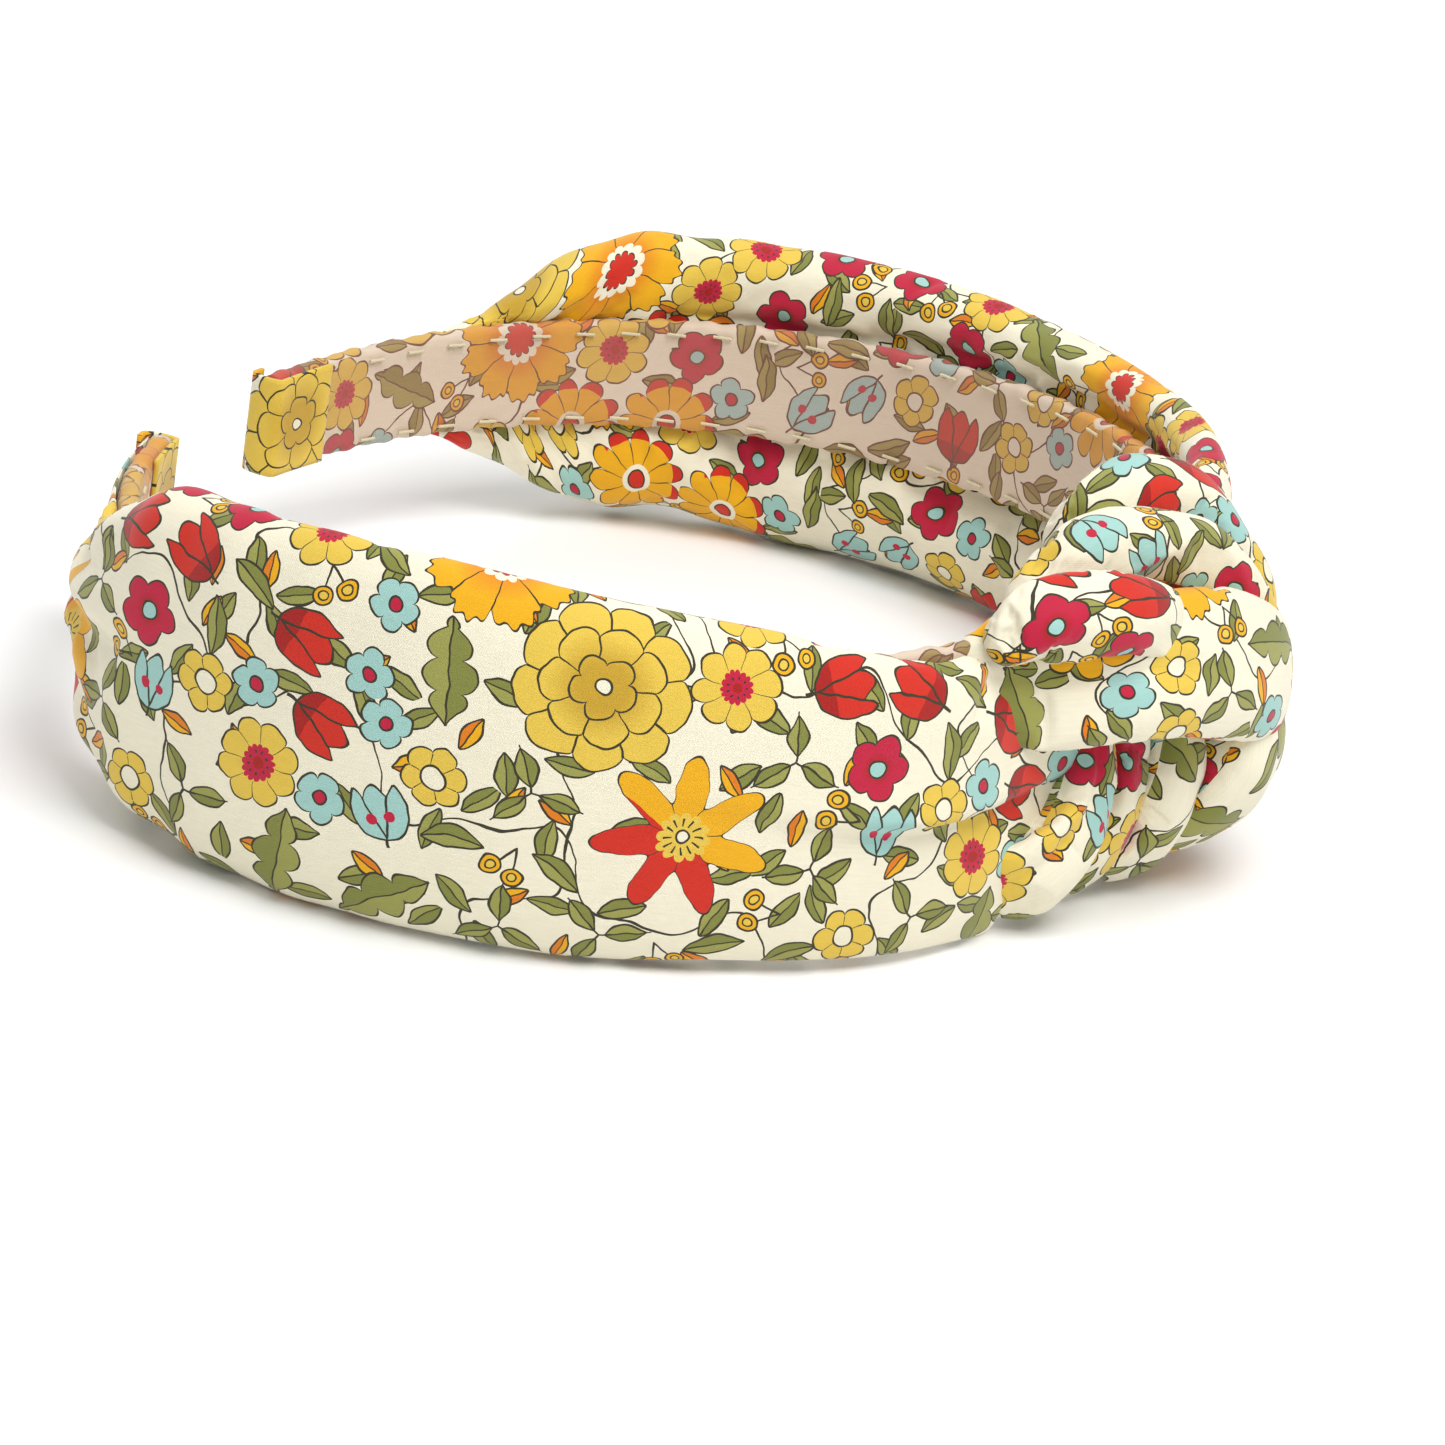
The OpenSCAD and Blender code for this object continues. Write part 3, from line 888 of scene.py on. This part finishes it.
def cover_edges(a, side):
    """Heights of the cover's lower and upper edge, and its thickness: each arm has its own slack."""
    lo = cover_lo(a)
    hi = cover_hi(a)
    thick = bulge(a)
    if side == NEAR:
        hi = hi - 0.5 - 2.4 * hill(a, 30, 22) + 1.5 * hill(a, 86, 18) - 2.8 * hill(a, 127, 9)
        thick = thick + 1.2 * hill(a, 126, 12) + 1.6 * hill(a, 43, 11) - 1.5 * hill(a, 22, 10)
        lo = lo + 1.2 * hill(a, 10, 14) + 3.0 * hill(a, 121, 13)
    else:
        hi = hi - 0.8 + 4.2 * hill(a, 26, 26) - 1.2 * hill(a, 108, 22)
        lo = lo + 1.6 * hill(a, 112, 12) - 1.5 * hill(a, 135, 8)
    return lo, hi, thick


def cover_outline(a, inset, side):
    """The cover's section: back layer, lower fold, outer face, upper fold; the (offset, height)s."""
    zb = band_mid(a)
    hb = band_half(a)
    lo, hi, thick = cover_edges(a, side)
    lo = lo + inset
    hi = hi - inset
    thick = thick - 1.2 * inset
    tall = hi - lo
    mid = (hi + lo) / 2
    base = LINING_HALF_T + 0.2 + inset + 0 * a
    below = (zb - hb) - lo
    above = hi - (zb + hb)
    curl = 3.2 * ease(np.minimum(below, above) / 6.0) * (1 - 0.8 * (inset > 0))
    points = [
        (base, zb), (base, zb - 0.75 * hb), (base + 0.1, zb - hb - 0.2),
        (base - curl, zb - hb - 0.38 * below), (base - curl + 0.2, lo + 0.18 * below),
        (base + 0.30 * thick, lo - 0.6), (base + 0.98 * thick, lo + 0.07 * tall),
        (base + 1.06 * thick, mid - 0.19 * tall), (base + 1.09 * thick, mid),
        (base + 1.06 * thick, mid + 0.19 * tall), (base + 0.92 * thick, hi - 0.09 * tall),
        (base + 0.30 * thick, hi + 0.5), (base - curl + 0.2, hi - 0.18 * above),
        (base - curl, zb + hb + 0.38 * above), (base + 0.1, zb + hb + 0.2),
        (base, zb + 0.75 * hb)]
    outline = closed_spline(np.stack([np.stack([p, q], -1) for p, q in points], -2), COVER_PER)
    z = outline[..., 1]
    low = z.min(1, keepdims=True)
    high = z.max(1, keepdims=True)
    outline[..., 1] = lo[:, None] + (z - low) * (hi - lo)[:, None] / (high - low)
    return outline


def cover_rings(side, first, last, count, inset):
    """Angles, rings of points and their sections, between two angles of an arm."""
    a = np.linspace(first, last, count)
    outline = cover_outline(a, inset, side)
    signed = np.repeat((side * a)[:, None], outline.shape[1], 1)
    return a, place(signed, outline[..., 0], outline[..., 1]), outline


def gathers(a, outline, side):
    """Soft folds of the cover, in mm outward: where it narrows, beside the knot, and slack."""
    lo, hi, thick = (v[:, None] for v in cover_edges(a, side))
    h = (outline[..., 1] - lo) / (hi - lo)
    angle = a[:, None]
    face = np.clip((outline[..., 0] - LINING_HALF_T - 0.2) / np.maximum(thick, 1.0), 0, 1)
    bend = 0.10 * waves(angle, 3 + side, 3, 60)
    folds = np.sin(2 * math.pi * (3.4 * h + bend)) * hill(angle, 130, 13) * 0.9
    edge_puckers = (np.sin(angle * 0.62 + 2.0 * bend) * hill(angle, 118, 22) * 0.5
                    * (hill(h, 0.0, 0.28) + hill(h, 1.0, 0.28)))
    # A tuck beside the knot: the cloth above it laps over the cloth below
    tuck_at = 0.50 + 0.03 * np.sin(angle / 9)
    lap = np.clip((h - tuck_at) / 0.022, -1, 1) * np.exp(-np.abs(h - tuck_at) / 0.09)
    tuck = 1.6 * lap * hill(angle, 35, 16)
    fan = np.sin(2 * math.pi * (3.2 * h + 0.012 * angle)) * hill(angle, 14, 11) * 0.5
    slack = 0.20 * waves(angle + 30 * h, 5 + side, 5, 70) * np.sin(math.pi * np.clip(h, 0, 1))
    return (folds + edge_puckers + tuck + fan + slack) * (0.25 + 0.75 * face)


def make_cover(side, material):
    name = ARM[side]
    a, rings, outline = cover_rings(side, 0.0, TIP_ANGLE - 0.3, COVER_RINGS, 0.0)
    on_band = ((outline[..., 0] < LINING_HALF_T + 0.6)
               & (np.abs(outline[..., 1] - band_mid(a)[:, None]) < band_half(a)[:, None] - 1.0))
    ends = (a[:, None] > 143.0) | (a[:, None] < 6.0)
    v = girth(rings, (CREST - 1) * COVER_PER)
    rings = settle(rings, on_band | ends, grow=0.04, pressure=2.0, cap=2.2)
    rings = rings + ring_normals(rings) * gathers(a, outline, side)[..., None]
    u = run(place(side * a, 4.0 + 0 * a, 0 * a)) * side
    obj = tube_mesh(name + "_cover_cloth", rings, u, -v)
    dress(obj, material)
    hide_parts(name + "_cover", "cover_crown")
    bend_with_arm(obj)
    return obj


def make_wadding(side, material):
    """The filling, a smaller copy of the cover between two angles of the arm."""
    name = ARM[side]
    _, rings, _ = cover_rings(side, 54.0, 112.0, 90, 2.2)
    v = girth(rings, 0)
    obj = tube_mesh(name + "_wadding_fill", rings, run(rings.mean(1)), v)
    dress(obj, material)
    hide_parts(name + "_wadding")
    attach(obj, name + "_arm")
    return obj


# ---- Lining, core and tip ----


def strip_rings(side, last, count, half_t, half_w, square=0.9):
    a = np.linspace(0.0, last, count)
    h = half_w(a)
    zero = 0 * a
    t = half_t + zero
    points = [(-t, zero), (-t, -0.5 * h), (-t, -square * h), (-0.6 * t, -1.05 * h),
              (0.6 * t, -1.05 * h), (t, -square * h), (t, zero), (t, square * h),
              (0.6 * t, 1.05 * h), (-0.6 * t, 1.05 * h), (-t, square * h), (-t, 0.5 * h)]
    control = np.stack([np.stack([p, q], -1) for p, q in points], -2)
    outline = closed_spline(control, 5)
    signed = np.repeat((side * a)[:, None], outline.shape[1], 1)
    rings = place(signed, outline[..., 0], outline[..., 1] + band_mid(a)[:, None])
    return a, rings, outline


def make_lining(side, material):
    """A sleeve of cloth round the core, whose edges meet on the outer face under the cover."""
    name = ARM[side]
    pitch = 7.0

    def half_w(a):
        return band_half(a) + 0.1 + 0.12 * np.sin(2 * math.pi * a * 1.19 / pitch)

    a, outer, outline = strip_rings(side, TIP_ANGLE, 320, LINING_HALF_T + 0.05, half_w)
    edge = np.clip(np.abs(outline[..., 1]) / band_half(a)[:, None], 0, 1) ** 6
    pucker = 0.10 * edge * np.sin(2 * math.pi * a * 1.19 / (pitch / 2))[:, None]
    outer = outer + ring_normals(outer) * pucker[..., None]
    _, inner, _ = strip_rings(side, TIP_ANGLE, 320, CORE_HALF_T + 0.06, lambda a: half_w(a) - 0.6)
    # The ring is opened at the middle of its outer face
    opening = outer.shape[1] // 2
    outer = np.roll(outer, -opening, 1)
    inner = np.roll(inner, -opening, 1)
    v = girth(outer, 0)[:, :-1]
    v = v - v.mean(1, keepdims=True)
    u = run(place(side * a, 0 * a, 0 * a)) * side
    obj = sheet_mesh(name + "_lining_cloth", outer, inner, u, -v)
    dress(obj, material)
    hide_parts(name + "_lining", "lining_crown")
    bend_with_arm(obj)
    return obj


def make_core(side, material):
    name = ARM[side]
    a, rings, _ = strip_rings(side, TIP_ANGLE - 1.0, 200, CORE_HALF_T, lambda a: band_half(a) - 0.85)
    obj = tube_mesh(name + "_core_strip", rings, run(rings.mean(1)), girth(rings, 0))
    dress(obj, material)
    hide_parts(name + "_core", "core_crown")
    bend_with_arm(obj)
    return obj


def make_tip_tab(side, material):
    """The cover's end, folded round the tip and back along the inside."""
    name = ARM[side]
    per_mm = 360 / (2 * math.pi * HALF_WIDTH)
    outer = LINING_HALF_T + SKIN_T + 0.45
    inner = -LINING_HALF_T - 0.42
    turn = np.linspace(0, math.pi, 14)
    lead = np.linspace(-1.5, 0, 5)[:-1]
    tail = np.linspace(0, -10.0, 26)[1:]
    middle = (outer + inner) / 2
    radius = (outer - inner) / 2
    along = np.concatenate([lead, 0.75 * np.sin(turn), tail])
    off = np.concatenate([0 * lead + outer, middle + radius * np.cos(turn), 0 * tail + inner])
    a = side * (TIP_ANGLE + along * per_mm)
    half = band_half(a) + 0.25
    route = place(a, off, band_mid(a))
    step = np.gradient(route, axis=0)
    step /= np.linalg.norm(step, axis=-1, keepdims=True)
    out = np.cross(step, np.array([0.0, 0.0, 1.0]))
    across = np.linspace(-1, 1, 21)
    thin = 0.28
    face = (route + out * thin)[:, None] + np.array([0, 0, 1.0]) * (across * half[:, None])[..., None]
    back = (route - out * thin)[:, None] + np.array([0, 0, 1.0]) * (across * half[:, None])[..., None]
    obj = sheet_mesh(name + "_tip_tab_cloth", face, back, run(route), across * half[:, None])
    dress(obj, material)
    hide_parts(name + "_tip_tab")
    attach(obj, name + "_arm")
    return obj


# ---- Knot ----

FOLD_RINGS = 131
FOLD_SIDES = 80
# Height of the folds' fine unevenness, in mm
RUFFLE = 0.16


def knot_place(points):
    """Places by the crown: across toward the far arm, outward from the core, and up."""
    p = np.asarray(points, float)
    crown = hoop_point(np.array(0.0))
    return np.stack([p[..., 0], crown[1] - p[..., 1], REST_H + p[..., 2]], -1)


def curve(points, count):
    """A smooth line through points, by the Catmull-Rom rule."""
    p = np.asarray(points, float)
    k = np.linspace(0, len(p) - 1 - 1e-9, count)
    i = k.astype(int)
    f = (k - i)[:, None]
    a, b, c, d = (p[np.clip(i + s, 0, len(p) - 1)] for s in (-1, 0, 1, 2))
    return 0.5 * (2 * b + (c - a) * f + (2 * a - 5 * b + 4 * c - d) * f ** 2
                  + (3 * b - a - 3 * c + d) * f ** 3)


def spread(values, count):
    return curve(np.array(values, float)[:, None], count)[:, 0]


def make_fold(name, route, widths, thick, facing, material, replaces, seed, uv_start, creases=(), boxy=0.9):
    """A puffy fold of cloth along a route.

    widths and thick are lists spread evenly along it; facing is the side the face looks to.
    A crease is (place along 0-1, reach, angle round in degrees, spread, depth in mm)."""
    count = FOLD_RINGS
    sides = FOLD_SIDES
    line = curve(knot_place(route), count)
    k = np.linspace(0, 1, count)
    close = np.sqrt(np.maximum(0.02, 1 - np.abs(2 * k - 1) ** 8))
    wide = spread(widths, count) / 2 * close
    deep = spread(thick, count) / 2 * close
    ahead = np.gradient(line, axis=0)
    ahead /= np.linalg.norm(ahead, axis=-1, keepdims=True)
    face = np.array([facing[0], -facing[1], facing[2]], float)
    across = np.cross(ahead, face)
    across /= np.linalg.norm(across, axis=-1, keepdims=True)
    up = np.cross(across, ahead)
    angle = np.linspace(0, 2 * math.pi, sides, endpoint=False)
    cs = np.sign(np.cos(angle)) * np.abs(np.cos(angle)) ** boxy
    sn = np.sign(np.sin(angle)) * np.abs(np.sin(angle)) ** boxy
    rings = (line[:, None] + across[:, None] * wide[:, None, None] * cs[None, :, None]
             + up[:, None] * deep[:, None, None] * sn[None, :, None])
    normals = ring_normals(rings)
    push = np.zeros((count, sides))
    for at, reach, where, width, depth in creases:
        turn = (np.degrees(angle)[None, :] - where + 180) % 360 - 180
        push -= depth * hill(turn, 0, width) * hill(k[:, None], at, reach)
    rng = np.random.default_rng(seed)
    for _ in range(5):
        lean = rng.uniform(-2.2, 2.2)
        pitch = rng.uniform(1.5, 5.0)
        wave = np.sin(pitch * angle[None, :] + lean * 3.0 * k[:, None] + rng.uniform(0, 6.28))
        push += RUFFLE * 0.5 * wave
    push += RUFFLE * waves(k[:, None] * 30 + 6 * cs[None, :], seed, 4, 26)
    hidden = (k[:, None] < 0.06) | (k[:, None] > 0.94) | (sn[None, :] < -0.7)
    rings = settle(rings, hidden, grow=0.05, pressure=1.2, cap=1.3)
    rings = rings + normals * (push * close[:, None])[..., None]
    v = girth(rings, sides // 4)
    obj = tube_mesh(name, rings, run(line) + uv_start[0], v + uv_start[1])
    dress(obj, material)
    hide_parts(*replaces)
    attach(obj, "crown")
    return obj


# Each fold of the knot: route, widths, thicknesses, facing, CAD node, place on the print, extras.
# A route's points are across toward the far arm, outward from the core and up, in mm, counted from
# the crown of the core's centre line at the hoop's middle height.
FOLDS = {
    "knot_front_loop": (
        [[-38, -9, 8], [-30, -2.8, 7.8], [-20, 5.2, 8.0], [-7, 11.2, 5.8], [3.5, 12.8, 1.8],
         [10.0, 10.0, -2.5], [14, 4, -6]],
        [8, 16, 18, 18.5, 17.5, 15, 10], [5, 8.5, 10, 10.5, 10.5, 9, 6.5], (0, 1, 0.25),
        "knot_front_loop", (10, 31),
        {"creases": [(0.30, 0.16, 88, 6, 0.9), (0.62, 0.10, 150, 14, 0.7), (0.80, 0.10, 60, 10, 0.6)]}),
    "knot_upper_fold": (
        [[-36, -5, 11], [-32, -1.2, 14.5], [-25, 4.2, 15], [-18, 7.2, 12.5], [-12, 8, 9]],
        [6, 9, 9.5, 8.5, 6], [5, 8, 8.5, 7.5, 4], (-0.2, 1, 0.35),
        "knot_front_loop", (66, 24), {"boxy": 1.0}),
    "knot_second_roll": (
        [[-24, -7, 12], [-17, -3.2, 15.8], [-10.4, -0.2, 16.8], [-4.4, 2.8, 16], [1.6, 6.1, 13.6],
         [6.6, 9.7, 7.3], [9.6, 11.2, 1.5], [10.5, 9, -4]],
        [7, 9, 9.5, 9.5, 9.5, 9.5, 8, 6], [6, 8.5, 9, 9, 9, 9, 8, 6], (0.2, 1, 0.8),
        "knot_second_roll", (48, 12), {"boxy": 1.0}),
    "knot_third_roll": (
        [[-6, -9, 13], [-1.8, -5.5, 16.8], [3.6, -2.4, 18.4], [9.4, 1.2, 16.8], [12.6, 4.8, 12.2],
         [14.4, 8.2, 6], [15.5, 7.5, -2]],
        [8, 10, 10.5, 10.5, 10.5, 10, 8], [6, 8.5, 9, 9, 9, 8.5, 7], (0.4, 1, 0.7),
        "knot_third_roll", (20, 70), {"boxy": 1.0}),
    "knot_last_fold": (
        [[9, -9, 12], [15, -5.5, 16], [19.5, -2.2, 14.5], [21.5, 0.8, 8], [21, 1.8, 0], [19, 1, -8]],
        [6, 8, 8.5, 8.5, 8, 6], [5, 6.5, 7, 7, 6.5, 5], (0.5, 1, 0.5),
        "knot_third_roll", (37, 5), {"boxy": 1.0}),
    "knot_wrap_strip": (
        [[-18.5, 1.5, 5], [-19.5, 2.8, -2], [-21.8, 3.4, -8], [-25.5, 2.9, -12.8], [-29, 1.0, -16.4],
         [-31.5, -2.6, -19.0]],
        [6, 7.5, 9.5, 11, 11.5, 10], [3, 4.6, 5.4, 5.4, 4.8, 2.5], (-0.45, 1, 0),
        "knot_wrap_strip", (75, 40), {"creases": [(0.5, 0.5, 70, 9, 0.5)]}),
    "knot_first_pleat": (
        [[-13, 5, -1], [-13, 5.2, -7], [-13.5, 4.6, -12], [-15, 3.6, -17], [-17, 1, -21.2]],
        [6, 6.5, 7.5, 8.5, 8], [5, 5.8, 5.8, 5, 4], (-0.2, 1, 0),
        "knot_first_pleat", (12, 55), {}),
    "knot_second_pleat": (
        [[-6.5, 9, -2], [-7.2, 9.2, -7], [-8, 8.2, -12], [-9, 6.4, -17], [-10.5, 3, -21]],
        [8, 8.5, 8.5, 8, 7], [7, 8, 8, 7, 5], (0, 1, 0),
        "knot_second_pleat", (43, 64), {}),
    "knot_third_pleat": (
        [[4, 12, 0], [3, 14.2, -5], [1.5, 13.6, -9.5], [-0.5, 10.5, -14], [-3, 5.5, -18.5]],
        [13, 15, 15, 12.5, 9], [9, 10.5, 10.5, 9, 6], (0.15, 1, 0),
        "knot_third_pleat", (3, 33), {"creases": [(0.5, 0.4, 120, 9, 0.8)]}),
}


def make_knot(material):
    for seed, (name, (route, widths, thick, facing, node, start, extras)) in enumerate(FOLDS.items()):
        make_fold(name + "_cloth", route, widths, thick, facing, material, [node], seed, start, **extras)


# ---- Stage ----


def make_stage():
    bpy.ops.mesh.primitive_plane_add(size=3.0, location=(0, 0, 0))
    floor = bpy.context.object
    floor.name = "floor"
    material = bpy.data.materials.new("floor_paper")
    material.use_nodes = True
    shader = material.node_tree.nodes["Principled BSDF"]
    shader.inputs["Base Color"].default_value = (0.90, 0.90, 0.90, 1)
    shader.inputs["Roughness"].default_value = 0.9
    floor.data.materials.append(material)
    world = bpy.data.worlds.new("studio")
    world.use_nodes = True
    world.node_tree.nodes["Background"].inputs[0].default_value = (1.0, 1.0, 1.0, 1)
    world.node_tree.nodes["Background"].inputs[1].default_value = 0.45
    bpy.context.scene.world = world
    for name, spot, size, power in (("key", (-0.20, -0.40, 1.0), 0.7, 10.5),
                                    ("fill", (-0.95, -0.25, 0.50), 0.8, 1.0),
                                    ("back", (0.45, 0.65, 0.80), 0.7, 3.5)):
        data = bpy.data.lights.new(name, "AREA")
        data.size = size
        data.energy = power
        light = bpy.data.objects.new(name, data)
        light.location = spot
        aim = Vector((0, 0.014, 0.02)) - Vector(spot)
        light.rotation_euler = aim.to_track_quat("-Z", "Y").to_euler()
        bpy.context.scene.collection.objects.link(light)


# ---- Build ----

cover_cloth = make_cloth("printed_cotton", shift=(31.0, 35.0))
knot_cloth = make_cloth("printed_cotton_knot", shift=(7.0, 19.0), turn=0.6)
# The lining's print carries a painted shade, darker and warmer, as where it shows on the shaded inside of
# the hoop
lining_cloth = make_cloth("printed_cotton_lining", shift=(31.0, 44.0), turn=0.2, painted_shade=0.40,
                          painted_shade_tint=paint((0.68, 0.46, 0.41)))
tab_cloth = make_cloth("printed_cotton_tab", shift=(16.1, 22.7))
core_plastic = make_plain("moulded_plastic", paint((0.93, 0.93, 0.91)), paint((0.88, 0.88, 0.86)),
                          900.0, 0.45, 0.00002)
fibre = make_plain("fibre_fill", paint((0.97, 0.97, 0.95)), paint((0.86, 0.86, 0.84)), 1400.0,
                   0.95, 0.0004, sheen=0.3)
thread = make_plain("cotton_thread", paint((0.87, 0.83, 0.70)), paint((0.72, 0.68, 0.55)), 4000.0,
                    0.8, 0.00004, sheen=0.2)
glue = make_plain("set_glue", paint((0.86, 0.84, 0.74)), paint((0.78, 0.75, 0.62)), 700.0, 0.3, 0.00003)

for arm_side in (NEAR, FAR):
    make_core(arm_side, core_plastic)
    make_lining(arm_side, lining_cloth)
    make_wadding(arm_side, fibre)
    make_cover(arm_side, cover_cloth)
    make_tip_tab(arm_side, tab_cloth)
    dress(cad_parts[ARM[arm_side] + "_seam_stitches"], thread)
    dress(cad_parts[ARM[arm_side] + "_tip_glue"], glue)
dress(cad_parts["knot_tack_stitches"], thread)
make_knot(knot_cloth)
make_stage()
